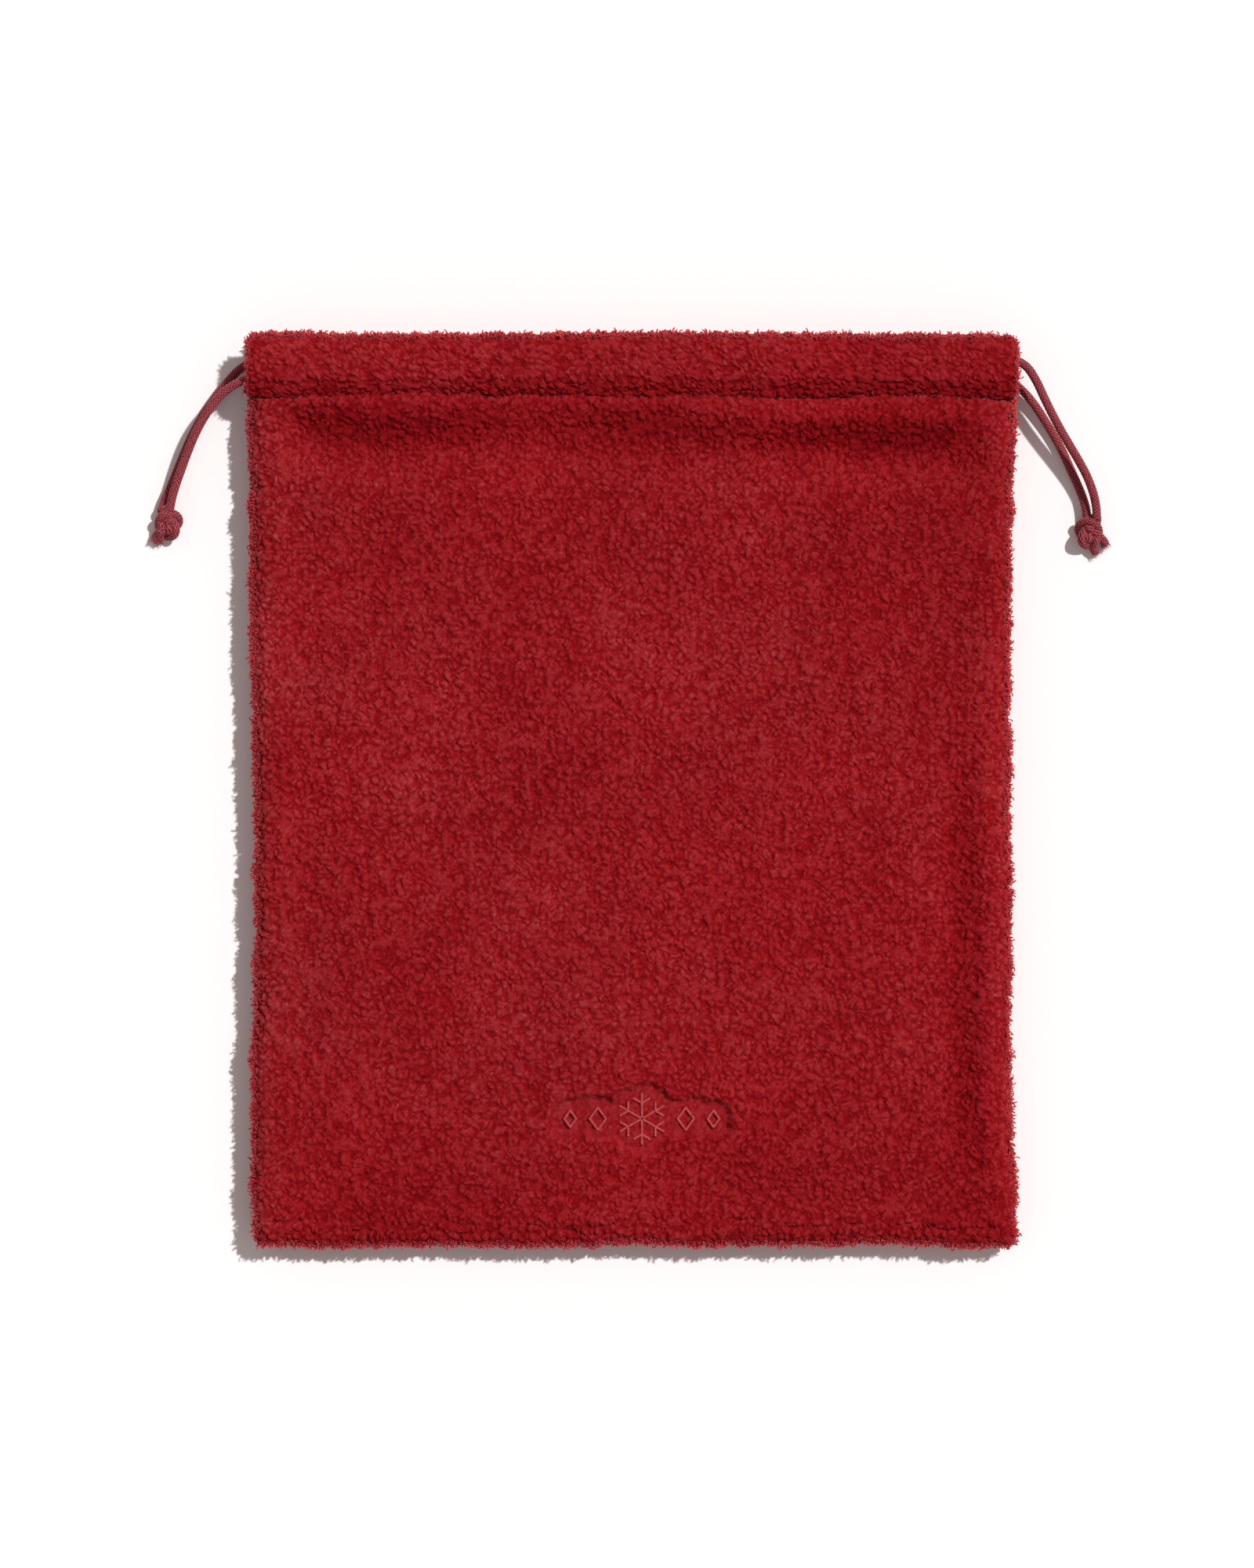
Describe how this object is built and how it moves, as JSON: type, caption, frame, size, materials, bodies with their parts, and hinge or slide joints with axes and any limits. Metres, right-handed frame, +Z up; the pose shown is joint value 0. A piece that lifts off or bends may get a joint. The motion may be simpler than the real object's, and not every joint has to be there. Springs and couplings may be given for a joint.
{
  "type": "drawstring gift sack",
  "caption": "Flat rectangular gift sack of thick curly pile cloth with a stitched casing and two knotted drawcords.",
  "frame": {"origin": "middle of the underside that the sack rests on, taken without the drawcords", "axes": "+X across the sack, +Y from the bottom seam to the mouth, +Z up from the surface that it lies on"},
  "size_m": [0.39, 0.36, 0.023],
  "materials": {
    "pile_cloth": "curly deep-pile fleece, matt with a soft sheen",
    "seam_allowance": "matt knitted backing",
    "sewing_thread": "spun polyester thread",
    "embroidery_thread": "satin embroidery thread",
    "stabiliser": "non-woven backing",
    "braided_cord": "round braided cord, dull"
  },
  "bodies": {
    "sack": {"front_panel": "pile_cloth", "back_panel": "pile_cloth", "front_casing_stitching": "sewing_thread", "back_casing_stitching": "sewing_thread", "bottom_seam": "seam_allowance", "bottom_seam_stitching": "sewing_thread", "bottom_overlock": "sewing_thread", "embroidery_backing": "stabiliser", "embroidery_snowflake": "embroidery_thread", "embroidery_lozenge_left_1": "embroidery_thread", "embroidery_lozenge_right_1": "embroidery_thread", "embroidery_lozenge_left_2": "embroidery_thread", "embroidery_lozenge_right_2": "embroidery_thread"},
    "left_cord": {"left_drawcord": "braided_cord", "left_knot": "braided_cord", "left_cut_end_1": "braided_cord", "left_cut_end_2": "braided_cord"},
    "right_cord": {"right_drawcord": "braided_cord", "right_knot": "braided_cord", "right_cut_end_1": "braided_cord", "right_cut_end_2": "braided_cord"},
    "left_side": {"left_side_seam": "seam_allowance", "left_seam_stitching": "sewing_thread", "left_overlock": "sewing_thread", "left_slit_bartack": "sewing_thread"},
    "right_side": {"right_side_seam": "seam_allowance", "right_seam_stitching": "sewing_thread", "right_overlock": "sewing_thread", "right_slit_bartack": "sewing_thread"}
  },
  "joints": [
    {"name": "left_cord_pull", "type": "slide", "parent": "sack", "child": "left_cord", "axis": [-1, 0, 0], "range_m": [0, 0.06], "deforming": ["front_panel", "back_panel", "front_casing_stitching", "back_casing_stitching"]},
    {"name": "right_cord_pull", "type": "slide", "parent": "sack", "child": "right_cord", "axis": [1, 0, 0], "range_m": [0, 0.06], "deforming": ["front_panel", "back_panel", "front_casing_stitching", "back_casing_stitching"]},
    {"name": "right_side_gather", "type": "hinge", "parent": "sack", "child": "right_side", "pos_m": [0.15, -0.18, 0.0095], "axis": [0, 0, 1], "range_deg": [0, 10], "deforming": ["front_panel", "back_panel", "front_casing_stitching", "back_casing_stitching"]},
    {"name": "left_side_gather", "type": "hinge", "parent": "sack", "child": "left_side", "pos_m": [-0.15, -0.18, 0.0095], "axis": [0, 0, -1], "range_deg": [0, 10], "deforming": ["front_panel", "back_panel", "front_casing_stitching", "back_casing_stitching"]}
  ],
  "couplings": [
    {"joint": "right_side_gather", "follows": "left_cord_pull", "rad_per_m": 2.8},
    {"joint": "left_side_gather", "follows": "right_cord_pull", "rad_per_m": 2.8}
  ]
}
